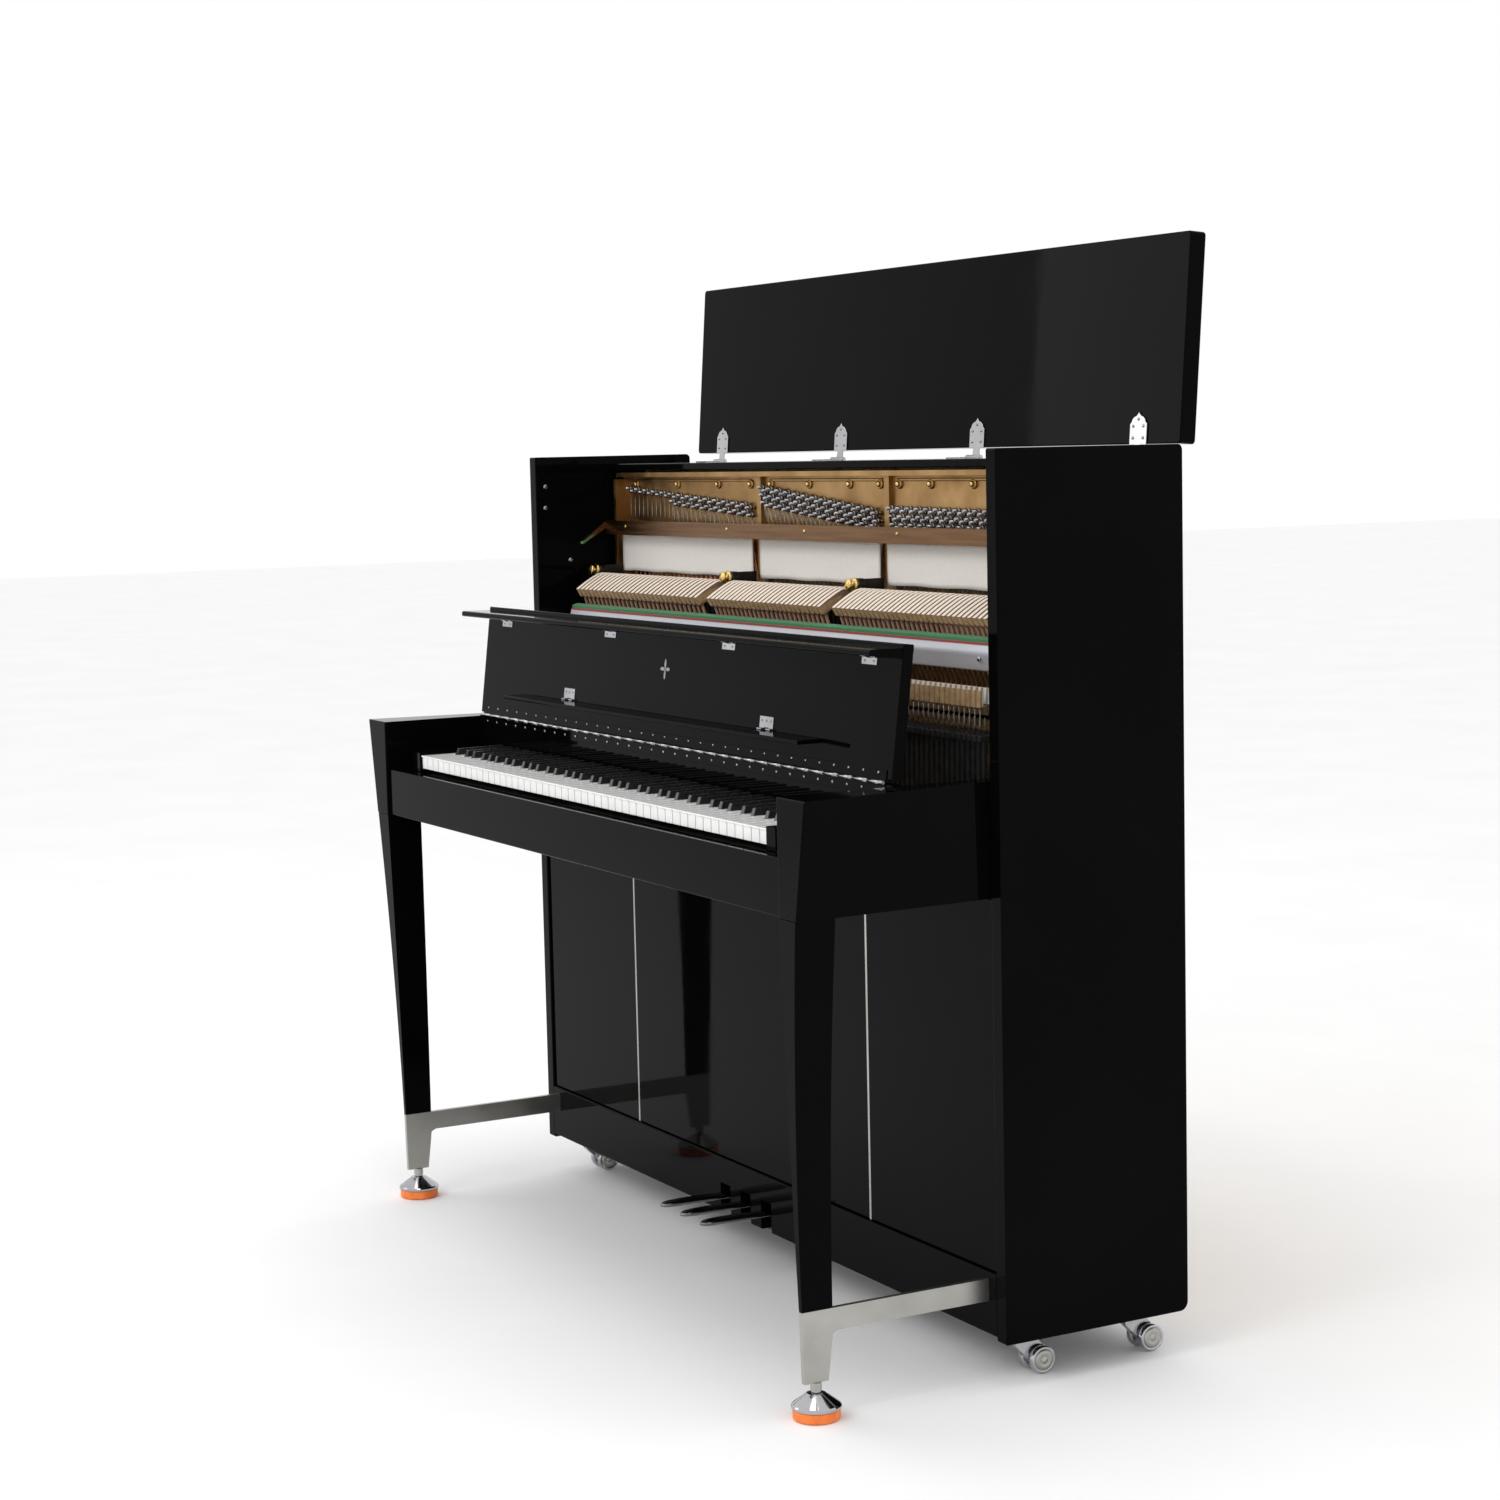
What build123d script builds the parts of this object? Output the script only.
from build123d import *
import os
from math import cos, radians, sin

# Upright piano with its lid up, its upper front panel off and its fallboard open.
# Millimetres. X runs to the player's right, Y from the player into the case, Z up.
# The origin is on the floor, under the middle of the piano as it stands here.

os.makedirs("parts", exist_ok=True)

# ------------------------------------------------------------ driving dimensions

# Case
case_width = 1508
case_height = 1307  # top of the side panels above the floor
case_depth = 314  # side panels, front to back
side_thickness = 25
floor_gap = 64  # floor to the underside of the case
edge_round = 2  # softened edges of lacquered panels
panel_gap = 2  # beside the lid and the knee panel
toe_rail_top = 160
toe_rail_thickness = 22
bottom_board_thickness = 20
knee_panel_thickness = 18
knee_panel_recess = 4
inlay_x = 385  # the two upright metal inlays in the knee panel
inlay_width = 5
inlay_thickness = 1.5
back_rail_thickness = 12
back_rail_drop = 15  # top of the side panels to the top of the rail
back_rail_depth = 164

# Lid and its hinges
lid_thickness = 27
lid_length = 298
lid_open_angle = 94.2  # from shut
lid_hinge_x = (209, 630)  # each side of the middle
leaf_width = 40
leaf_length = 46
leaf_thickness = 2.5
knuckle_radius = 4
hinge_pin_radius = 1.6
pin_clearance = 0.1
centre_knuckle = 16  # length of the moving leaf's barrel
knuckle_gap = 0.3  # between barrels along a pin
fixed_leaf = 1.5
fixed_leaf_reach = 30  # length of the fixed leaf along the rear top rail
lid_corner = 6

# Keybed, arms, legs and feet
arm_reach = 318  # how far the arms stand in front of the case
arm_top = 853
arm_height = 163
arm_thickness = 30  # where the arm meets the case
arm_flare = 46  # how much further out the arm's top front corner stands
arm_underside_flare = 18
arm_tenon = 40  # length of arm inside the case
keybed_thickness = 30
slip_setback = 5  # key slip behind the front of the arms
slip_thickness = 22
slip_height = 80
leg_depth_top = 62
leg_depth_foot = 48
leg_setback_foot = 16  # front of the leg behind the front of the arm, at the shoe
leg_waist_width = 20
shoe_thickness = 8
shoe_top = 150
shoe_bottom = 50
shoe_depth_bottom = 38
bar_height = 32
boss_radius = 8
boss_length = 10
foot_radius = 35
foot_pad_radius = 33
foot_pad_height = 14
foot_rim_height = 7
foot_neck_radius = 7
foot_stem_radius = 4

# Casters
wheel_radius = 20
wheel_width = 13
wheel_split = 16  # clear space between the twin wheels
axle_radius = 4
caster_trail = 26
caster_x_inset = 54  # swivel axis from the outside of the case
caster_front = 60
caster_back = 250
stem_radius = 5.5
stem_length = 18
fork_gap = 5
fork_plate_radius = 15

# Keyboard
key_pitch = 23.56
key_count = 88
key_top = 799
key_height = 23
key_gap = 1
key_head = 50
key_front_inset = 32  # front of the naturals behind the front of the arms
sharp_width = 10
sharp_height = 11.5
sharp_slope = 5
keys_shown = 145  # front of the naturals to where sharps stop
balance_point = 236  # from the front of the naturals
key_tail = 95  # behind the balance rail
key_tail_width = 9
key_tail_straight = 30
block_rise = 4  # key block above the naturals
block_width = 25
block_screw_radius = 6
key_rail_clearance = 0.7  # under the keys
front_rail_drop = 11  # room for the keys to dip over the front rail

# Fallboard
nameboard_thickness = 18
nameboard_top = 854
cheek_gap = 12  # keyboard to the nameboard's end pieces
fallboard_height = 187
fallboard_thickness = 17
fallboard_lean = 7
fallboard_side_gap = 4
nose_depth = 52
nose_thickness = 15
nose_drop = 6  # top of the nose below the top of the fallboard
ledge_length = 1010
ledge_depth = 38
ledge_thickness = 6
ledge_height = 48  # above the fallboard's hinge
ledge_hinge_x = 337
nose_hinge_x = (202, 610)
butt_hinge_width = 40
fall_radius = 3  # barrel of the long hinge
fall_pin_radius = 1
fall_leaf = 1.5
fall_leaf_height = 14
fall_segment = 40  # the long hinge's barrels take turns along it
fall_face = -5  # player's side of the fallboard, from the hinge pin
fall_foot = 4  # lower edge of the open fallboard above the pin
nose_axis_out = 2.8  # nose hinge pin in front of the fallboard's face
ledge_axis_out = 4  # ledge hinge pin in front of it
small_barrel = 2  # the small hinges of the nose and the ledge
small_pin = 0.9
small_middle = 13  # length of a small hinge's middle barrel
small_leaf = 1.2
small_clearance = 0.4  # around a small hinge's barrel
nose_strap = 4  # fixed leaf beside the nose's barrels
ledge_strap = 6

# Action
hammer_pin = (104, 136)  # behind the case front, above the natural keys
hammer_lean = 18
hammer_reach = 140
hammer_rake = 30  # slope of the head
hammer_width = 9
shank_thickness = 5.5
head_tail = 8  # hammer head in front of its shank
head_tip = 56  # hammer head behind its shank
wippen_pin = (110, 106)
damper_pin = (148, 92)
action_pin_radius = 1.4
damper_width = 8
damper_stem = 4
damper_hub = 5
string_gap = 0.4  # dampers to strings
bracket_front = 118  # upright part of a bracket, behind the case front
bracket_depth = 36
bracket_rise = 176  # above the hammers' pin
lever_thickness = 7  # jack, back check and sticker
bracket_thickness = 6
rest_rail_gap = 0.6
rest_rail_along = 104  # on the shanks, from their pin
rest_felt_depth = 5
rest_felt_height = 12
rest_arm_thickness = 4
string_plane = 166  # plain strings behind the case front
bass_plane = 161  # wound strings cross in front of them
bass_string_radius = 1.5
plain_string_radius = 0.6
tenor_break = -199  # plate struts, where no note stands
treble_break = 207
break_clearance = 23
note_inset = 57  # outermost notes from the inside of the case
section_notes = (28, 26, 34)
damped_notes = 66
muffler_drop_gap = 1.5
muffler_front = 123  # behind the case front
muffler_height = 25
muffler_rise = 231  # above the hammers' pin
muffler_web = 3
muffler_side_gap = 29
muffler_lever_reach = 44  # the little lever at its left end
muffler_lever_drop = 34
muffler_lever_width = 8
felt_thickness = 2.5
felt_height = 66

# Iron plate, pin block, soundboard and back
plate_thickness = 12
plate_side_gap = 11
plate_top_drop = 31  # below the top of the side panels
plate_bottom = 150
strut_width = 14
plate_lip = 20  # how far the plate's edge stands forward
plate_edge_width = 8
plate_corner = 12
window_corner = 24
window_side_margin = 30
window_foot_margin = 180
pin_field_height = 126
pin_block_thickness = 40
soundboard_thickness = 8
rib_width = 24
rib_count = 9
post_count = 7
post_width = 80
post_depth = 76
beam_height = 112  # lower beam between the posts
top_beam_height = 120
tuning_pin_radius = 3.3
pin_row_step = 12
pin_reach = 20  # tuning pins in front of the plate
bass_slant = 220  # how far a string's foot stands to the side of its top
tenor_slant = -150
bridge_width = 30
long_bridge = ((-430, 470), (-100, 560), (260, 760), (590, 1000))
bass_bridge_place = (330, 330)
bass_bridge_length = 480
bass_bridge_turn = 10

# Pedals
pedal_spacing = 68
pedal_reach = 120
pedal_width = 22
pedal_thickness = 11
pedal_height = 100
pedal_slot = 34
pedal_pivot = 150  # behind the front of the case
pedal_pin_radius = 3
pedal_hub = 9
pedal_neck = 3  # how much narrower each side is inside the case
lug_thickness = 8

# ------------------------------------------------------------ derived places

half_width = case_width / 2
half_inner = half_width - side_thickness
arm_inner = half_inner - 2 - arm_thickness
half_keyboard = key_pitch * 52 / 2
lid_axis_setback = 9
lid_back = 15.5  # rear edge of the lid in front of its hinge pin, when shut
lid_lift = 5.9  # underside of the lid above the pin, when shut
lid_lean = radians(lid_open_angle - 90)
lid_overhang = (
    lid_axis_setback
    + (lid_lift + lid_thickness) * cos(lid_lean)
    + (lid_back + lid_length) * sin(lid_lean)
)
case_front = (arm_reach - case_depth - lid_overhang) / 2
back_rail_top = case_height - back_rail_drop
arm_bottom = arm_top - arm_height
keybed_top = arm_bottom + 2 + keybed_thickness
key_bottom = key_top - key_height


def behind(distance):
    """Y of a place given by its distance behind the front of the case."""
    return case_front + distance


key_front = behind(key_front_inset - arm_reach)
key_balance = key_front + balance_point
key_end = key_balance + key_tail
sharps_end = key_front + keys_shown
nameboard_front = sharps_end + 4
plate_front = string_plane + 4
soundboard_front = plate_front + plate_thickness + 26
pin_block_back = plate_front + plate_thickness + pin_block_thickness
plate_top = case_height - plate_top_drop
plate_half = half_inner - plate_side_gap


def save(piece, name):
    """Label a finished piece and write it."""
    piece.part.label = name
    export_step(piece.part, f"parts/{name}.step")


def block(x, y, z, mode=Mode.ADD):
    """A box that fills three (low, high) ranges."""
    with Locations(((x[0] + x[1]) / 2, (y[0] + y[1]) / 2, (z[0] + z[1]) / 2)):
        Box(x[1] - x[0], y[1] - y[0], z[1] - z[0], mode=mode)


def cross_planes(centres, width):
    """Planes across the piano, on which pieces of one width start."""
    return [Plane.YZ.offset(x - width / 2) for x in centres]


def outline(points):
    """A face with straight sides, in the open sketch."""
    Polygon(*points)


def rod(start, end, radius):
    """A round bar between two points."""
    span = Vector(*end) - Vector(*start)
    middle = (Vector(*start) + Vector(*end)) / 2
    with Locations(Plane(origin=middle, z_dir=span)):
        Cylinder(radius, span.length)


# ------------------------------------------------------------ notes and keys

bass, tenor, treble = section_notes
section_ends = [
    (bass, note_inset - half_inner, tenor_break - break_clearance),
    (tenor, tenor_break + break_clearance, treble_break - break_clearance),
    (treble, treble_break + break_clearance, half_inner - note_inset),
]
note_x = [
    low + (high - low) * i / (count - 1)
    for count, low, high in section_ends
    for i in range(count)
]
sharp_shift = {1: -3, 3: 3, 6: -4, 8: 0, 10: 4}  # by semitone above C
first_tone = 9  # the lowest key is an A
key_x = []
naturals_so_far = 0
for key in range(key_count):
    tone = (key + first_tone) % 12
    if tone in sharp_shift:
        key_x.append(naturals_so_far * key_pitch - half_keyboard + sharp_shift[tone])
    else:
        key_x.append((naturals_so_far + 0.5) * key_pitch - half_keyboard)
        naturals_so_far += 1
sharp_keys = [k for k in range(key_count) if (k + first_tone) % 12 in sharp_shift]
natural_keys = [k for k in range(key_count) if k not in sharp_keys]

# ------------------------------------------------------------ case


def side_panel(side):
    inner = half_inner if side > 0 else -half_width
    with BuildPart() as panel:
        with BuildSketch(Plane.YZ.offset(inner)):
            with BuildLine():
                FilletPolyline(
                    (behind(0), floor_gap),
                    (behind(case_depth), floor_gap),
                    (behind(case_depth), case_height),
                    (behind(0), case_height),
                    radius=[3, 14, 8, 3],
                    close=True,
                )
            make_face()
        extrude(amount=side_thickness)
        faces = panel.faces().filter_by(Axis.X)
        fillet(faces.edges(), edge_round)
    return panel


save(side_panel(-1), "left_side_panel")
save(side_panel(1), "right_side_panel")

with BuildPart() as back_top_rail:
    block(
        (-half_inner, half_inner),
        (behind(case_depth - back_rail_depth), behind(case_depth)),
        (back_rail_top - back_rail_thickness, back_rail_top),
    )
    fillet(back_top_rail.edges().filter_by(Axis.X), edge_round)
save(back_top_rail, "back_top_rail")

board_top = floor_gap + bottom_board_thickness
caster_x = half_width - caster_x_inset
caster_places = {
    "front_left": (-caster_x, behind(caster_front)),
    "front_right": (caster_x, behind(caster_front)),
    "back_left": (-caster_x, behind(caster_back)),
    "back_right": (caster_x, behind(caster_back)),
}
pedal_x = (-pedal_spacing, 0, pedal_spacing)
lug_x = [pedal_spacing * (i - 1.5) for i in range(4)]
with BuildPart() as bottom_board:
    block(
        (-half_inner, half_inner),
        (behind(toe_rail_thickness), behind(case_depth)),
        (floor_gap, board_top),
    )
    for x in lug_x:
        block(
            (x - lug_thickness / 2, x + lug_thickness / 2),
            (behind(pedal_pivot - pedal_hub), behind(pedal_pivot + pedal_hub)),
            (board_top, pedal_height + pedal_hub),
        )
    rod(
        (lug_x[0], behind(pedal_pivot), pedal_height),
        (lug_x[-1], behind(pedal_pivot), pedal_height),
        pedal_pin_radius,
    )
    with Locations(*[(x, y, floor_gap) for x, y in caster_places.values()]):
        Cylinder(
            stem_radius + pin_clearance,
            2 * (stem_length - fork_gap + 1),
            mode=Mode.SUBTRACT,
        )
save(bottom_board, "bottom_board")
with BuildPart() as toe_rail:
    block(
        (-half_inner, half_inner),
        (behind(0), behind(toe_rail_thickness)),
        (floor_gap + 6, toe_rail_top),
    )
    fillet(toe_rail.edges().filter_by(Axis.X), edge_round)
    for x in pedal_x:
        block(
            (x - pedal_slot / 2, x + pedal_slot / 2),
            (behind(-1), behind(toe_rail_thickness + 1)),
            (pedal_height - 30, pedal_height + 18),
            mode=Mode.SUBTRACT,
        )
save(toe_rail, "toe_rail")

knee_back = behind(knee_panel_recess + knee_panel_thickness)
with BuildPart() as knee_panel:
    block(
        (panel_gap - half_inner, half_inner - panel_gap),
        (behind(knee_panel_recess), knee_back),
        (toe_rail_top + 1, arm_bottom - 1),
    )
    fillet(knee_panel.faces().sort_by(Axis.Y)[0].edges(), edge_round)
    for x in (-inlay_x, inlay_x):
        block(
            (x - inlay_width / 2, x + inlay_width / 2),
            (behind(knee_panel_recess), behind(knee_panel_recess + inlay_thickness)),
            (toe_rail_top, arm_bottom),
            mode=Mode.SUBTRACT,
        )
save(knee_panel, "knee_panel")

with BuildPart() as knee_panel_inlays:
    for x in (-inlay_x, inlay_x):
        block(
            (x - inlay_width / 2, x + inlay_width / 2),
            (behind(knee_panel_recess), behind(knee_panel_recess + inlay_thickness)),
            (toe_rail_top + 1, arm_bottom - 1),
        )
save(knee_panel_inlays, "knee_panel_inlays")

# ------------------------------------------------------------ back of the piano

post_span = half_inner - post_width / 2 - 5
post_x = [post_span * (2 * i / (post_count - 1) - 1) for i in range(post_count)]
top_beam_bottom = back_rail_top - back_rail_thickness - top_beam_height
frame_front = behind(case_depth - post_depth)
with BuildPart() as back_frame:
    with BuildSketch(Plane.XZ.offset(-frame_front)):
        with Locations((0, (board_top + back_rail_top - back_rail_thickness) / 2)):
            Rectangle(2 * half_inner, back_rail_top - back_rail_thickness - board_top)
        for left, right in zip(post_x, post_x[1:]):
            low = board_top + beam_height
            with Locations(((left + right) / 2, (low + top_beam_bottom) / 2)):
                Rectangle(
                    right - left - post_width,
                    top_beam_bottom - low,
                    mode=Mode.SUBTRACT,
                )
    extrude(amount=-post_depth)
    block(
        (-half_inner, half_inner),
        (behind(pin_block_back), frame_front),
        (top_beam_bottom, back_rail_top - back_rail_thickness),
    )
save(back_frame, "back_frame")

soundboard_top = plate_top - pin_field_height - 10
soundboard_back = soundboard_front + soundboard_thickness
with BuildPart() as soundboard:
    block(
        (-plate_half + 18, plate_half - 18),
        (behind(soundboard_front), behind(soundboard_back)),
        (plate_bottom - 20, soundboard_top),
    )
    with BuildSketch(Plane.XZ.offset(-behind(soundboard_back))):
        middle = (plate_bottom + soundboard_top) / 2
        spread = plate_half * 2 / rib_count
        for i in range(rib_count):
            with Locations(((i - (rib_count - 1) / 2) * spread * 1.25, middle)):
                Rectangle(rib_width, 3 * case_height, rotation=-45)
        with Locations((0, middle)):
            Rectangle(
                2 * plate_half - 90,
                soundboard_top - plate_bottom - 30,
                mode=Mode.INTERSECT,
            )
    extrude(amount=-(case_depth - post_depth - soundboard_back))
save(soundboard, "soundboard")

bridge_thickness = soundboard_front - plate_front - plate_thickness - 2
bridge_y = behind(soundboard_front)
with BuildPart() as bridges:
    with BuildSketch(Plane.XZ.offset(-bridge_y)):
        with BuildLine():
            Spline(*long_bridge)
            offset(amount=bridge_width / 2, side=Side.BOTH)
        make_face()
        with Locations(bass_bridge_place):
            Rectangle(bass_bridge_length, bridge_width, rotation=bass_bridge_turn)
    extrude(amount=bridge_thickness)
save(bridges, "bridges")

with BuildPart() as pin_block:
    block(
        (18 - plate_half, plate_half - 18),
        (behind(plate_front + plate_thickness), behind(pin_block_back)),
        (plate_top - pin_field_height, plate_top - 6),
    )
save(pin_block, "pin_block")

plate_window_top = plate_top - pin_field_height - 6
plate_window_bottom = plate_bottom + window_foot_margin
window_edges = (
    (window_side_margin - plate_half, tenor_break - strut_width),
    (tenor_break + strut_width, treble_break - strut_width),
    (treble_break + strut_width, plate_half - window_side_margin),
)
strut_front = bass_plane + bass_string_radius + 0.5
with BuildPart() as iron_plate:
    with BuildSketch(Plane.XZ.offset(-behind(plate_front))):
        with Locations((0, (plate_bottom + plate_top) / 2)):
            RectangleRounded(2 * plate_half, plate_top - plate_bottom, plate_corner)
        for low, high in window_edges:
            with Locations(
                ((low + high) / 2, (plate_window_bottom + plate_window_top) / 2)
            ):
                RectangleRounded(
                    high - low,
                    plate_window_top - plate_window_bottom,
                    window_corner,
                    mode=Mode.SUBTRACT,
                )
    extrude(amount=-plate_thickness)
    for x in (tenor_break, treble_break):
        block(
            (x - strut_width / 2, x + strut_width / 2),
            (behind(strut_front), behind(plate_front)),
            (plate_window_top - 40, plate_top - plate_edge_width),
        )
    block(
        (12 - plate_half, plate_half - 12),
        (behind(plate_front - plate_lip), behind(plate_front)),
        (plate_top - plate_edge_width, plate_top),
    )
    for x in (-plate_half, plate_half - plate_edge_width):
        block(
            (x, x + plate_edge_width),
            (behind(plate_front - plate_lip), behind(plate_front)),
            (plate_window_top - 60, plate_top - 12),
        )
save(iron_plate, "iron_plate")

# ------------------------------------------------------------ strings

pin_rows = (
    # first note, last note, height below the plate's top at each end, rows
    (0, bass - 1, 26, 50, 2),
    (bass, bass + tenor - 1, 26, 68, 2),
    (bass + tenor, key_count - 1, 62, 70, 2),
)
pin_places = []
for first, last, high_drop, low_drop, rows in pin_rows:
    for note in range(first, last + 1):
        along = (note - first) / (last - first)
        drop = high_drop + (low_drop - high_drop) * along
        for row in range(rows):
            pin_places.append((note_x[note], plate_top - drop - pin_row_step * row))
with BuildPart() as tuning_pins:
    with BuildSketch(Plane.XZ.offset(-behind(plate_front - pin_reach))):
        with Locations(*pin_places):
            Circle(tuning_pin_radius)
    extrude(amount=-(pin_reach + plate_thickness + 22))
save(tuning_pins, "tuning_pins")

string_top = plate_top - 110
with BuildPart() as strings:
    for note in range(key_count):
        x = note_x[note]
        treble_share = max(0, note - bass - tenor) / treble
        if note < bass:
            foot = (x + bass_slant, behind(bass_plane), plate_window_bottom - 30)
            radius = bass_string_radius
            plane = bass_plane
        else:
            low = plate_window_bottom + (string_top - plate_window_bottom) * (
                0.02 + 0.78 * treble_share
            )
            foot = (x + tenor_slant * (1 - treble_share), behind(string_plane), low)
            radius = plain_string_radius
            plane = string_plane
        rod((x, behind(plane), string_top), foot, radius)
save(strings, "strings")

# ------------------------------------------------------------ keybed and arms

slip_front = slip_setback - arm_reach
with BuildPart() as keybed:
    for half, start in ((arm_inner, slip_front + slip_thickness), (half_inner, arm_tenon)):
        block((-half, half), (behind(start), behind(150)), (arm_bottom + 2, keybed_top))
save(keybed, "keybed")

with BuildPart() as key_slip:
    block(
        (-arm_inner, arm_inner),
        (behind(slip_front), behind(slip_front + slip_thickness)),
        (arm_bottom, arm_bottom + slip_height),
    )
    fillet(key_slip.edges().filter_by(Axis.X), edge_round)
save(key_slip, "key_slip")


def arm_section(side, distance, flare_top, flare_bottom):
    """Upright face across an arm, at a distance behind the front of the case."""
    root = arm_inner + arm_thickness
    with BuildSketch(Plane.XZ.offset(-behind(distance))) as section:
        outline(
            [
                (side * arm_inner, arm_bottom),
                (side * (root + flare_bottom), arm_bottom),
                (side * (root + flare_top), arm_top),
                (side * arm_inner, arm_top),
            ]
        )
    return section.sketch


def arm(side):
    with BuildPart() as piece:
        front = arm_section(side, -arm_reach, arm_flare, arm_underside_flare)
        back = arm_section(side, 0, 0, 0)
        loft([front, back])
        inner, outer = sorted((side * arm_inner, side * (arm_inner + arm_thickness)))
        block((inner, outer), (behind(0), behind(arm_tenon)), (arm_bottom, arm_top))
        front_edges = piece.edges().group_by(Axis.Y)[0]
        fillet(front_edges, edge_round)
    return piece


save(arm(-1), "left_arm")
save(arm(1), "right_arm")

shoe_x = arm_inner + 9  # middle of the shoe's plate
shoe_front = leg_setback_foot - arm_reach


def leg_section(side, height, inner, outer, front, depth):
    """Level face across a leg."""
    with BuildSketch(Plane.XY.offset(height)) as section:
        with Locations((side * (inner + outer) / 2, behind(front + depth / 2))):
            Rectangle(outer - inner, depth)
    return section.sketch


def leg(side):
    head_width = arm_thickness + arm_underside_flare * (1 - leg_depth_top / arm_reach)
    waist = (arm_bottom + shoe_top) / 2
    waist_depth = (leg_depth_top + leg_depth_foot) / 2
    shoe_inner = shoe_x - shoe_thickness / 2
    with BuildPart() as piece:
        sections = (
            (arm_bottom, arm_inner, head_width, -arm_reach, leg_depth_top),
            (waist, arm_inner + 1, leg_waist_width, leg_setback_foot / 2 - arm_reach, waist_depth),
            (shoe_top, shoe_inner, shoe_thickness, shoe_front, leg_depth_foot),
        )
        loft(
            [
                leg_section(side, height, inner, inner + width, front, depth)
                for height, inner, width, front, depth in sections
            ]
        )
    return piece


save(leg(-1), "left_leg")
save(leg(1), "right_leg")

shoe_middle = behind(shoe_front + shoe_depth_bottom / 2 + 3)


def leg_shoe(side):
    """Metal shoe with its flat bar back to the toe rail and a boss for the foot."""
    with BuildPart() as piece:
        with BuildSketch(Plane.YZ.offset(side * shoe_x - shoe_thickness / 2)):
            outline(
                [
                    (behind(shoe_front), shoe_top),
                    (behind(shoe_front + 2), shoe_bottom),
                    (behind(shoe_front + 2 + shoe_depth_bottom), shoe_bottom),
                    (behind(shoe_front + leg_depth_foot), shoe_top - bar_height - 4),
                    (behind(shoe_front + leg_depth_foot + 8), shoe_top - bar_height),
                    (behind(0), shoe_top - bar_height),
                    (behind(0), shoe_top),
                ]
            )
        extrude(amount=shoe_thickness)
        boss_bottom = Plane.XY.offset(shoe_bottom - boss_length)
        with BuildSketch(boss_bottom):
            with Locations((side * shoe_x, shoe_middle)):
                Circle(boss_radius)
                Circle(foot_stem_radius + pin_clearance, mode=Mode.SUBTRACT)
        extrude(amount=boss_length)
    return piece


save(leg_shoe(-1), "left_leg_shoe")
save(leg_shoe(1), "right_leg_shoe")


def foot(side):
    """Levelling foot: a spun cone on a threaded stem."""
    neck_top = shoe_bottom - boss_length - 0.5
    rim_top = foot_pad_height + foot_rim_height
    axis_plane = Plane(
        origin=(side * shoe_x, shoe_middle, 0), x_dir=(1, 0, 0), z_dir=(0, -1, 0)
    )
    with BuildPart() as piece:
        with BuildSketch(axis_plane):
            outline(
                [
                    (0, foot_pad_height),
                    (foot_radius - 2, foot_pad_height),
                    (foot_radius, foot_pad_height + 2),
                    (foot_radius, rim_top - 2),
                    (foot_radius - 2, rim_top),
                    (foot_neck_radius + 6, neck_top - 4),
                    (foot_neck_radius, neck_top - 2),
                    (foot_neck_radius, neck_top),
                    (foot_stem_radius, neck_top),
                    (foot_stem_radius, shoe_bottom - 1.5),
                    (0, shoe_bottom - 1.5),
                ]
            )
        revolve(axis=Axis((side * shoe_x, shoe_middle, 0), (0, 0, 1)))
    return piece


def foot_pad(side):
    with BuildPart() as piece:
        with BuildSketch(Plane.XY):
            with Locations((side * shoe_x, shoe_middle)):
                Circle(foot_pad_radius)
        extrude(amount=foot_pad_height)
        fillet(piece.edges().filter_by(GeomType.CIRCLE).sort_by(Axis.Z)[0], 3)
    return piece


for side, name in ((-1, "left"), (1, "right")):
    save(foot(side), f"{name}_foot")
    save(foot_pad(side), f"{name}_foot_pad")

# ------------------------------------------------------------ lid

lid_axis = (behind(case_depth + lid_axis_setback), back_rail_top + 0.5)
turn = radians(lid_open_angle)
# In this plane, Y runs up the raised lid from its hinge and Z towards the player.
lid_plane = Plane(
    origin=(0, *lid_axis), x_dir=(1, 0, 0), z_dir=(0, -sin(turn), -cos(turn))
)
half_lid = half_inner - panel_gap
with BuildPart() as lid:
    with BuildSketch(lid_plane.offset(-lid_lift)):
        with Locations((0, lid_back + lid_length / 2)):
            RectangleRounded(2 * half_lid, lid_length, lid_corner)
    extrude(amount=-lid_thickness)
    fillet(lid.faces().filter_by(lid_plane).edges(), edge_round)
save(lid, "lid")

hinge_places = [side * x for x in lid_hinge_x for side in (-1, 1)]


def knuckle(x_low, x_high, y, z, radius, bore):
    """A hinge barrel along X with a bore for its pin."""
    with BuildSketch(Plane.YZ.offset(x_low)) as ring:
        with Locations((y, z)):
            Circle(radius)
            Circle(bore, mode=Mode.SUBTRACT)
    extrude(ring.sketch, amount=x_high - x_low)


lid_bore = hinge_pin_radius + pin_clearance
with BuildPart() as lid_hinge_leaves:
    with BuildSketch(lid_plane.offset(leaf_thickness - lid_lift)):
        with Locations(*[(x, lid_back + leaf_length / 2) for x in hinge_places]):
            RectangleRounded(leaf_width, leaf_length, 5)
    extrude(amount=-leaf_thickness)
    web = lid_back + 4
    with BuildSketch(lid_plane.offset(-lid_bore)):
        with Locations(*[(x, lid_bore + web / 2) for x in hinge_places]):
            Rectangle(centre_knuckle, web)
    extrude(amount=lid_bore - lid_lift)
    for x in hinge_places:
        knuckle(
            x - centre_knuckle / 2,
            x + centre_knuckle / 2,
            *lid_axis,
            knuckle_radius,
            lid_bore,
        )
save(lid_hinge_leaves, "lid_hinge_leaves")

# ------------------------------------------------------------ fallboard

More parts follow.
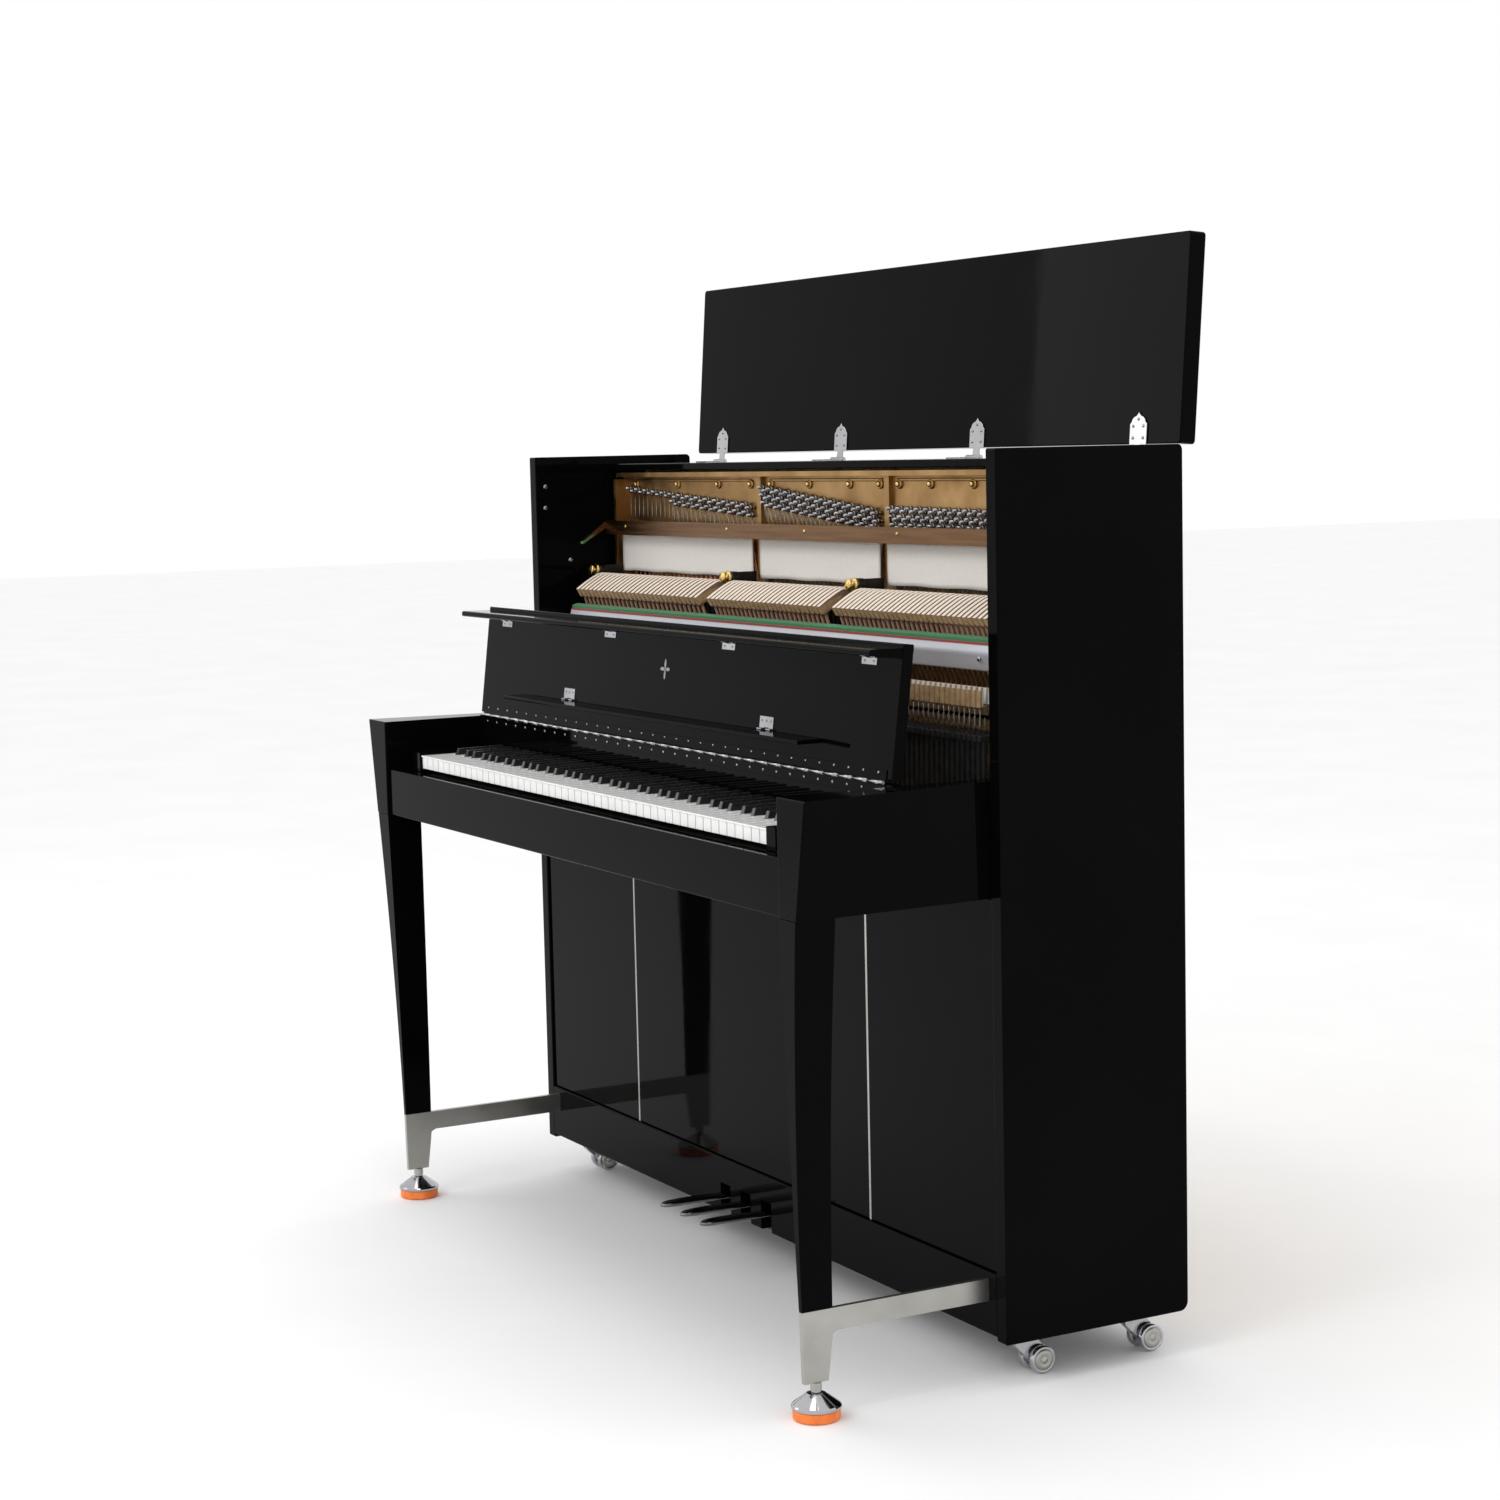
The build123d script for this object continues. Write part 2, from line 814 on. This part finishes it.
nameboard_back = nameboard_front + nameboard_thickness
board_half = arm_inner - 0.5
with BuildPart() as nameboard:
    block(
        (-board_half, board_half),
        (nameboard_front, nameboard_back),
        (key_top + 3, nameboard_top),
    )
    for side in (-1, 1):
        low, high = sorted((side * board_half, side * (half_keyboard + cheek_gap)))
        block((low, high), (nameboard_front, nameboard_back), (keybed_top, nameboard_top))
save(nameboard, "nameboard")

fall_axis = (nameboard_front - fall_radius - 0.5, nameboard_top + fall_radius)
lean = radians(fallboard_lean)
# In this plane, Y runs up the open fallboard and Z towards the player.
fall_plane = Plane(
    origin=(0, *fall_axis), x_dir=(1, 0, 0), z_dir=(0, -cos(lean), sin(lean))
)
half_fall = arm_inner - fallboard_side_gap
with BuildPart() as fallboard:
    with BuildSketch(fall_plane.offset(fall_face)):
        with Locations((0, fall_foot + fallboard_height / 2)):
            Rectangle(2 * half_fall, fallboard_height)
    extrude(amount=-fallboard_thickness)
    fillet(fallboard.edges().filter_by(Axis.X), edge_round)
save(fallboard, "fallboard")

fall_count = int(2 * half_fall / (2 * fall_segment))
fall_start = -fall_count * fall_segment
with BuildPart() as fallboard_hinge_leaf:
    with BuildSketch(fall_plane.offset(fall_face + fall_leaf)):
        with Locations((0, fall_foot + fall_leaf_height / 2)):
            Rectangle(2 * fall_count * fall_segment, fall_leaf_height)
    extrude(amount=-fall_leaf)
    for i in range(fall_count):
        x = fall_start + (2 * i) * fall_segment
        knuckle(x + 0.3, x + fall_segment - 0.3, *fall_axis, fall_radius, fall_pin_radius + 0.1)
        with BuildSketch(fall_plane):
            with Locations((x + fall_segment / 2, 4)):
                Rectangle(fall_segment - 0.6, 5)
        extrude(amount=fall_face)
save(fallboard_hinge_leaf, "fallboard_hinge_leaf")

nose_top = fall_foot + fallboard_height - nose_drop
nose_axis_height = nose_top - nose_thickness
nose_pin = fall_plane.from_local_coords(
    Vector(0, nose_axis_height, fall_face + nose_axis_out)
)
nose_places = [side * x for x in nose_hinge_x for side in (-1, 1)]
ledge_places = [side * ledge_hinge_x for side in (-1, 1)]


def outer_barrels(x):
    """The two (low, high) lengths beside a small hinge's middle barrel."""
    near = small_middle / 2 + knuckle_gap
    far = butt_hinge_width / 2
    return ((x - far, x - near), (x + near, x + far))


with BuildPart() as fallboard_nose:
    with BuildSketch(Plane.YZ.offset(-half_fall)):
        corner = fall_plane.from_local_coords(Vector(0, nose_axis_height, fall_face + 1))
        back = fall_plane.from_local_coords(Vector(0, nose_top, fall_face + 1))
        tip = fall_plane.from_local_coords(
            Vector(0, nose_top - 6, fall_face + 1 + nose_depth)
        )
        tip_low = fall_plane.from_local_coords(
            Vector(0, nose_axis_height, fall_face + 1 + nose_depth)
        )
        outline([(p.Y, p.Z) for p in (corner, back, tip, tip_low)])
    extrude(amount=2 * half_fall)
    fillet(fallboard_nose.edges().filter_by(Axis.X).sort_by(Axis.Y)[:2], 3.5)
    for x in nose_places:
        for low, high in outer_barrels(x):
            with Locations(Plane(((low + high) / 2, nose_pin.Y, nose_pin.Z), z_dir=(1, 0, 0))):
                Cylinder(
                    small_barrel + small_clearance,
                    high - low + 2 * knuckle_gap,
                    mode=Mode.SUBTRACT,
                )
        with Locations(Plane((x, nose_pin.Y, nose_pin.Z), z_dir=(1, 0, 0))):
            Cylinder(small_barrel, small_middle)
            Cylinder(small_pin + pin_clearance, small_middle + 1, mode=Mode.SUBTRACT)
save(fallboard_nose, "fallboard_nose")

ledge_pin = fall_plane.from_local_coords(
    Vector(0, ledge_height, fall_face + ledge_axis_out)
)
ledge_back = ledge_pin.Y - small_barrel - small_clearance
with BuildPart() as music_ledge:
    block(
        (-ledge_length / 2, ledge_length / 2),
        (ledge_back - ledge_depth, ledge_back),
        (ledge_pin.Z - 1 - ledge_thickness, ledge_pin.Z - 1),
    )
    fillet(music_ledge.edges().filter_by(Axis.X).sort_by(Axis.Y)[:2], 2)
    for x in ledge_places:
        block(
            (x - small_middle / 2, x + small_middle / 2),
            (ledge_back - 1, ledge_pin.Y),
            (ledge_pin.Z - small_barrel, ledge_pin.Z),
        )
        with Locations(Plane((x, ledge_pin.Y, ledge_pin.Z), z_dir=(1, 0, 0))):
            Cylinder(small_barrel, small_middle)
            Cylinder(small_pin + pin_clearance, small_middle + 1, mode=Mode.SUBTRACT)
save(music_ledge, "music_ledge")

with BuildPart() as fallboard_butt_hinges:
    with BuildSketch(fall_plane.offset(fall_face + small_leaf)):
        with Locations(*[(x, ledge_height + 3 + 8) for x in ledge_places]):
            Rectangle(butt_hinge_width, 16)
        with Locations(*[(x, nose_axis_height - small_barrel - 5) for x in nose_places]):
            Rectangle(butt_hinge_width, 9)
        for places, height, middle in (
            (nose_places, nose_strap, nose_axis_height - nose_strap / 2),
            (ledge_places, ledge_strap, ledge_height + ledge_strap / 2 - small_barrel),
        ):
            for x in places:
                for low, high in outer_barrels(x):
                    with Locations(((low + high) / 2, middle)):
                        Rectangle(high - low, height)
    extrude(amount=-small_leaf)
    for places, pin in ((nose_places, nose_pin), (ledge_places, ledge_pin)):
        for x in places:
            for low, high in outer_barrels(x):
                with Locations(Plane(((low + high) / 2, pin.Y, pin.Z), z_dir=(1, 0, 0))):
                    Cylinder(small_barrel, high - low)
            with Locations(Plane((x, pin.Y, pin.Z), z_dir=(1, 0, 0))):
                Cylinder(small_pin, butt_hinge_width)
    with BuildSketch(fall_plane.offset(fall_face)):
        for x in ledge_places:
            for low, high in outer_barrels(x):
                with Locations(((low + high) / 2, ledge_height)):
                    Rectangle(high - low, 2)
    extrude(amount=ledge_axis_out - small_pin)
save(fallboard_butt_hinges, "fallboard_butt_hinges")

# Fixed halves of the lid's hinges and of the fallboard's long hinge
with BuildPart() as fixed_hinge_leaves:
    for x in hinge_places:
        block(
            (x - leaf_width / 2, x + leaf_width / 2),
            (behind(case_depth - fixed_leaf_reach), behind(case_depth)),
            (back_rail_top, back_rail_top + fixed_leaf),
        )
        for side in (-1, 1):
            inner = centre_knuckle / 2 + knuckle_gap
            low, high = sorted((x + side * inner, x + side * leaf_width / 2))
            knuckle(low, high, *lid_axis, knuckle_radius, 0.5)
            block(
                (low, high),
                (behind(case_depth), lid_axis[0] - 1),
                (back_rail_top, back_rail_top + fixed_leaf),
            )
        with BuildSketch(Plane.YZ.offset(x - leaf_width / 2)):
            with Locations(lid_axis):
                Circle(hinge_pin_radius)
        extrude(amount=leaf_width)
    block(
        (fall_start, -fall_start),
        (nameboard_front - fall_leaf, nameboard_front),
        (nameboard_top - 16, nameboard_top),
    )
    for i in range(fall_count):
        x = fall_start + (2 * i + 1) * fall_segment
        knuckle(x + 0.3, x + fall_segment - 0.3, *fall_axis, fall_radius, 0.5)
        block(
            (x + 0.3, x + fall_segment - 0.3),
            (nameboard_front - fall_leaf, nameboard_front),
            (nameboard_top - 1, nameboard_top + fall_radius),
        )
    with BuildSketch(Plane.YZ.offset(fall_start)):
        with Locations(fall_axis):
            Circle(fall_pin_radius)
    extrude(amount=-2 * fall_start)
save(fixed_hinge_leaves, "fixed_hinge_leaves")

# ------------------------------------------------------------ keyboard


def stick_end(key):
    """The straight end of a key, under its own note."""
    left = note_x[key] - key_tail_width / 2
    right = note_x[key] + key_tail_width / 2
    straight = key_end - key_tail_straight
    return [(right, straight), (right, key_end), (left, key_end), (left, straight)]


def natural_outline(key):
    """Plan of a natural key: wide head, tail cut for the sharps, stick to its note."""
    x = key_x[key]
    left = x - (key_pitch - key_gap) / 2
    right = x + (key_pitch - key_gap) / 2
    shoulder = key_front + key_head
    tail_left, tail_right = left, right
    if key - 1 in sharp_keys:
        tail_left = key_x[key - 1] + sharp_width / 2 + key_gap
    if key + 1 in sharp_keys:
        tail_right = key_x[key + 1] - sharp_width / 2 - key_gap
    points = [(left, key_front), (right, key_front)]
    if tail_right < right:
        points += [(right, shoulder)]
        points += [(tail_right, shoulder)]
    points += [(tail_right, sharps_end)]
    points += stick_end(key)
    points += [(tail_left, sharps_end)]
    if tail_left > left:
        points += [(tail_left, shoulder)]
        points += [(left, shoulder)]
    return points


def sharp_outline(key):
    """Plan of a sharp key, under its raised cap and back to its note."""
    x = key_x[key]
    start = key_front + key_head + key_gap
    return [
        (x - sharp_width / 2, start),
        (x + sharp_width / 2, start),
        (x + sharp_width / 2, sharps_end),
        *stick_end(key),
        (x - sharp_width / 2, sharps_end),
    ]


def key_plans(outlines):
    """All the keys of one kind in one sketch, so that they are cut in one step."""
    with BuildSketch(Plane.XY.offset(key_bottom)) as plans:
        for points in outlines:
            outline(points)
    extrude(plans.sketch, amount=key_height)


with BuildPart() as white_keys:
    key_plans([natural_outline(k) for k in natural_keys])
save(white_keys, "white_keys")

cap_front = key_front + key_head + key_gap
with BuildPart() as black_keys:
    key_plans([sharp_outline(k) for k in sharp_keys])
    with BuildSketch(*cross_planes([key_x[k] for k in sharp_keys], sharp_width)):
        outline(
            [
                (cap_front, key_top),
                (cap_front + sharp_slope, key_top + sharp_height),
                (sharps_end - 3, key_top + sharp_height),
                (sharps_end - 3, key_top),
            ]
        )
    extrude(amount=sharp_width)
save(black_keys, "black_keys")

frame_half = half_keyboard + 1
with BuildPart() as key_frame:
    rails = (
        (key_front + 12, 30, key_bottom - front_rail_drop),
        (key_balance - 10, 20, key_bottom - key_rail_clearance),
        (key_end - 40, 34, key_bottom - key_rail_clearance - 2),
    )
    for start, depth, top in rails:
        block((-frame_half, frame_half), (start, start + depth), (keybed_top, top))
save(key_frame, "key_frame")

block_start = key_front - 2
with BuildPart() as key_blocks:
    for side in (-1, 1):
        near = side * (half_keyboard + 2)
        far = side * (half_keyboard + 2 + block_width)
        wall = side * (arm_inner - 0.5)
        block(
            tuple(sorted((near, far))),
            (block_start, nameboard_front - 2),
            (keybed_top, key_top + block_rise),
        )
        block(
            tuple(sorted((far, wall))),
            (block_start, nameboard_front - 2),
            (keybed_top, key_bottom - 4),
        )
        with BuildSketch(Plane.XY.offset(key_bottom - 4)):
            with Locations((side * (half_keyboard + block_width + 14), block_start + 16)):
                Circle(block_screw_radius)
        extrude(amount=8)
save(key_blocks, "key_blocks")

# ------------------------------------------------------------ action


def action_point(place):
    """Y and Z of a place behind the case front and above the natural keys."""
    return behind(place[0]), key_top + place[1]


hammer_centre = action_point(hammer_pin)
wippen_centre = action_point(wippen_pin)
damper_centre = action_point(damper_pin)
bore = action_pin_radius + pin_clearance
shank_angle = 90 + hammer_lean
shank = Vector(cos(radians(shank_angle)), sin(radians(shank_angle)))
head = Vector(cos(radians(hammer_rake)), sin(radians(hammer_rake)))
head_up = Vector(-head.Y, head.X)
head_base = Vector(*hammer_centre) + shank * hammer_reach


def plain_points(vectors):
    return [(v.X, v.Y) for v in vectors]


def hammers(notes):
    """Head, shank, butt and catcher of each note's hammer, cut as one profile."""
    with BuildPart() as piece:
        with BuildSketch(*cross_planes([note_x[k] for k in notes], hammer_width)):
            outline(
                plain_points(
                    [
                        head_base - head * head_tail - head_up * 10,
                        head_base + head * (head_tip - 18) - head_up * 10,
                        head_base + head * head_tip - head_up * 3,
                        head_base + head * head_tip + head_up * 3,
                        head_base + head * (head_tip - 18) + head_up * 10,
                        head_base - head * head_tail + head_up * 9,
                    ]
                )
            )
            middle = Vector(*hammer_centre) + shank * (hammer_reach / 2)
            with Locations((middle.X, middle.Y)):
                Rectangle(hammer_reach, shank_thickness, rotation=shank_angle)
            with Locations((hammer_centre[0] - 6, hammer_centre[1] + 4)):
                Rectangle(28, 26)
            with Locations((hammer_centre[0] - 34, hammer_centre[1] + 22)):
                Rectangle(52, 5, rotation=150)
            with Locations((hammer_centre[0] - 56, hammer_centre[1] + 28)):
                Rectangle(12, 24, rotation=10)
            with Locations(hammer_centre):
                Circle(bore, mode=Mode.SUBTRACT)
        extrude(amount=hammer_width)
    return piece


sticker_y = key_end - 15
sticker_foot = key_top + 0.7


def wippens(notes):
    """Lever, jack, back check and sticker of each note, cut as one profile."""
    y, z = wippen_centre
    with BuildPart() as piece:
        with BuildSketch(*cross_planes([note_x[k] for k in notes], hammer_width)):
            with Locations(((y + behind(20)) / 2 + 4, z)):
                Rectangle(y - behind(20) + 6, 13)
            with Locations((y - 24, z + 9)):
                Rectangle(lever_thickness, 18)
            with Locations((behind(24), z + 36)):
                Rectangle(lever_thickness, 64)
            with Locations((sticker_y, (sticker_foot + z) / 2)):
                Rectangle(lever_thickness, z - sticker_foot)
            with Locations(wippen_centre):
                Circle(bore, mode=Mode.SUBTRACT)
        extrude(amount=hammer_width)
    return piece


save(hammers(natural_keys), "hammers_white")
save(hammers(sharp_keys), "hammers_black")
save(wippens(natural_keys), "wippens_white")
save(wippens(sharp_keys), "wippens_black")

damper_low = hammer_centre[1] + 85
damper_high = hammer_centre[1] + 127
with BuildPart() as dampers:
    for first, last, face in (
        (0, bass, bass_plane - bass_string_radius),
        (bass, damped_notes, string_plane - plain_string_radius),
    ):
        back = behind(face - string_gap)
        with BuildSketch(*cross_planes(note_x[first:last], damper_width)):
            head_front = damper_centre[0] - 3
            with Locations(((head_front + back) / 2, (damper_low + damper_high) / 2)):
                Rectangle(back - head_front, damper_high - damper_low)
            with Locations((damper_centre[0], (damper_low + damper_centre[1]) / 2 + 6)):
                Rectangle(damper_stem, damper_low - damper_centre[1] + 24)
            with Locations(damper_centre):
                Circle(damper_hub)
                Circle(bore, mode=Mode.SUBTRACT)
        extrude(amount=damper_width)
save(dampers, "dampers")

action_half = half_inner - 30
bracket_x = (-action_half, tenor_break, treble_break, action_half)
bracket_top = hammer_centre[1] + bracket_rise
main_rail = (
    (hammer_centre[0] + 14, hammer_centre[0] + 32),
    (wippen_centre[1] + 12, hammer_centre[1] + 20),
)
with BuildPart() as action_brackets:
    with BuildSketch(*cross_planes(bracket_x, bracket_thickness)):
        foot_front = key_end + 3
        column = behind(bracket_front)
        column_back = behind(bracket_front + bracket_depth)
        outline(
            [
                (foot_front, keybed_top),
                (column_back - 4, keybed_top),
                (column_back, key_top + 60),
                (column_back, bracket_top),
                (column - 14, bracket_top),
                (column - 14, bracket_top - 14),
                (column, bracket_top - 30),
                (column, hammer_centre[1] + 40),
                (hammer_centre[0] - 12, hammer_centre[1] + 12),
                (hammer_centre[0] - 12, hammer_centre[1] - 12),
                (wippen_centre[0] - 12, wippen_centre[1] - 14),
                (column, key_top + 60),
                (column - 4, keybed_top + 14),
                (foot_front, keybed_top + 14),
            ]
        )
        for centre in (hammer_centre, wippen_centre, damper_centre):
            with Locations(centre):
                Circle(bore, mode=Mode.SUBTRACT)
        rail_middle = (sum(main_rail[0]) / 2, sum(main_rail[1]) / 2)
        with Locations(rail_middle):
            Rectangle(
                main_rail[0][1] - main_rail[0][0],
                main_rail[1][1] - main_rail[1][0],
                mode=Mode.SUBTRACT,
            )
    extrude(amount=bracket_thickness)
save(action_brackets, "action_brackets")

pin_half = action_half + bracket_thickness
with BuildPart() as action_rails:
    block((-pin_half, pin_half), *main_rail)
    with BuildSketch(Plane.YZ.offset(-pin_half)):
        with Locations(hammer_centre, wippen_centre, damper_centre):
            Circle(action_pin_radius)
    extrude(amount=2 * pin_half)
save(action_rails, "action_rails")

# ------------------------------------------------------------ hammer rest rail

rail_line = Vector(*hammer_centre) + shank * rest_rail_along
rail_face = Vector(-shank.Y, shank.X)  # from the shanks towards the player
rest_face = rail_line + rail_face * (shank_thickness / 2 + rest_rail_gap)
rest_arm_x = (
    8 - action_half,
    tenor_break - bracket_thickness - 3,
    treble_break - bracket_thickness - 3,
    action_half - 8,
)
with BuildPart() as hammer_rest_rail:
    with BuildSketch(Plane.YZ.offset(-action_half - 8)):
        with BuildLine():
            top_back = rest_face + rail_face * rest_felt_depth + shank * 6
            top_front = top_back + rail_face * 9
            belly = top_front - shank * 12 + rail_face * 8
            low_back = rest_face + rail_face * rest_felt_depth - shank * 36
            low_front = low_back + rail_face * 12
            FilletPolyline(
                *plain_points([top_back, top_front, belly, low_front, low_back]),
                radius=[1.5, 2, 10, 5, 1.5],
                close=True,
            )
        make_face()
    extrude(amount=2 * (action_half + 8))
    with BuildSketch(Plane.YZ.offset(-action_half)):
        felt_low = rest_face - shank * (rest_felt_height / 2)
        felt_high = rest_face + shank * (rest_felt_height / 2)
        through = rail_face * rest_felt_depth
        outline(plain_points([felt_low, felt_high, felt_high + through, felt_low + through]))
    extrude(amount=2 * action_half)
    with BuildSketch(*cross_planes(rest_arm_x, rest_arm_thickness)):
        arm_foot = Vector(*hammer_centre)
        arm_head = low_back + rail_face * 4
        arm_line = arm_head - arm_foot
        arm_middle = arm_foot + arm_line * 0.5
        with Locations((arm_middle.X, arm_middle.Y)):
            Rectangle(arm_line.length + 8, 10, rotation=90 + Vector(0, 1).get_angle(arm_line))
        with Locations(hammer_centre):
            Circle(8)
            Circle(bore, mode=Mode.SUBTRACT)
    extrude(amount=rest_arm_thickness)
save(hammer_rest_rail, "hammer_rest_rail")

# ------------------------------------------------------------ muffler

muffler_bottom = hammer_centre[1] + muffler_rise
muffler_top = muffler_bottom + muffler_height
felt_bottom = muffler_bottom - felt_height
felt_back = behind(bass_plane - bass_string_radius - muffler_drop_gap)
muffler_half = half_inner - muffler_side_gap
with BuildPart() as muffler_rail:
    front = behind(muffler_front)
    block(
        (-muffler_half, muffler_half),
        (front, front + muffler_web),
        (muffler_bottom, muffler_top),
    )
    block(
        (-muffler_half, muffler_half),
        (front, felt_back),
        (muffler_bottom, muffler_bottom + muffler_web),
    )
    with BuildSketch(Plane.YZ.offset(-muffler_half - muffler_lever_width)):
        outline(
            [
                (front + muffler_web, muffler_top),
                (front - muffler_lever_reach, muffler_top - muffler_lever_drop),
                (front - muffler_lever_reach - 3, muffler_top - muffler_lever_drop - 8),
                (front + muffler_web, muffler_top - 12),
            ]
        )
    extrude(amount=muffler_lever_width)
save(muffler_rail, "muffler_rail")

with BuildPart() as muffler_felts:
    for low, high in (
        (-muffler_half + 2, tenor_break - 13),
        (tenor_break + 13, treble_break - 11),
        (treble_break + 11, muffler_half - 2),
    ):
        block(
            (low, high),
            (felt_back - felt_thickness, felt_back),
            (felt_bottom, muffler_bottom),
        )
save(muffler_felts, "muffler_felts")

# ------------------------------------------------------------ pedals


def pedal(x):
    half = pedal_width / 2
    narrow = half - pedal_neck
    tip = behind(-pedal_reach)
    root = behind(-8)
    with BuildPart() as piece:
        with BuildSketch(Plane.XY.offset(pedal_height - pedal_thickness / 2)):
            with Locations((x, tip + half)):
                Circle(half)
            outline(
                [
                    (x - half, tip + half),
                    (x + half, tip + half),
                    (x + half, tip + 45),
                    (x + narrow, root),
                    (x - narrow, root),
                    (x - half, tip + 45),
                ]
            )
        extrude(amount=pedal_thickness)
        fillet(piece.faces().sort_by(Axis.Z)[-1].edges(), 2)
        block(
            (x - narrow, x + narrow),
            (root - 3, behind(pedal_pivot + 12)),
            (pedal_height - pedal_thickness / 2, pedal_height + pedal_thickness / 2),
        )
        with BuildSketch(Plane.YZ.offset(x - narrow)):
            with Locations((behind(pedal_pivot), pedal_height)):
                Circle(pedal_hub)
        extrude(amount=2 * narrow)
        with BuildSketch(Plane.YZ.offset(x - half)):
            with Locations((behind(pedal_pivot), pedal_height)):
                Circle(pedal_pin_radius + pin_clearance)
        extrude(amount=2 * half, mode=Mode.SUBTRACT)
    return piece


for x, name in zip(pedal_x, ("left", "middle", "right")):
    save(pedal(x), f"{name}_pedal")

# ------------------------------------------------------------ casters

fork_top = floor_gap - fork_gap
cheek = wheel_split / 2 - 0.5


def caster_fork(x, y):
    axle_y = y + caster_trail
    with BuildPart() as piece:
        with BuildSketch(Plane.YZ.offset(x - cheek)):
            with BuildLine():
                FilletPolyline(
                    (y - 14, fork_top),
                    (y - 14, fork_top - 16),
                    (axle_y - 9, wheel_radius - 8),
                    (axle_y + 9, wheel_radius - 8),
                    (axle_y + 10, wheel_radius + 14),
                    (y + 14, fork_top),
                    radius=[2, 6, 5, 5, 6, 2],
                    close=True,
                )
            make_face()
            with Locations((axle_y, wheel_radius)):
                Circle(axle_radius + pin_clearance, mode=Mode.SUBTRACT)
        extrude(amount=2 * cheek)
        with BuildSketch(Plane.XY.offset(fork_top - 4)):
            with Locations((x, y)):
                Circle(fork_plate_radius)
        extrude(amount=4)
        with BuildSketch(Plane.XY.offset(fork_top)):
            with Locations((x, y)):
                Circle(stem_radius)
        extrude(amount=stem_length)
    return piece


def caster_wheel(x, y):
    """Twin wheels on one axle."""
    axle_plane = Plane(
        origin=(x, y + caster_trail, wheel_radius), x_dir=(1, 0, 0), z_dir=(0, -1, 0)
    )
    inner = wheel_split / 2
    outer = inner + wheel_width
    with BuildPart() as piece:
        with BuildSketch(axle_plane):
            outline([(-inner, 0), (-inner, axle_radius), (inner, axle_radius), (inner, 0)])
            for side in (-1, 1):
                outline(
                    [
                        (side * inner, 0),
                        (side * inner, wheel_radius - 2),
                        (side * (inner + 2), wheel_radius),
                        (side * (outer - 3), wheel_radius),
                        (side * outer, wheel_radius - 4),
                        (side * outer, 0),
                    ]
                )
        revolve(axis=Axis(axle_plane.origin, (1, 0, 0)))
    return piece


for name, place in caster_places.items():
    save(caster_fork(*place), f"caster_fork_{name}")
    save(caster_wheel(*place), f"caster_wheel_{name}")
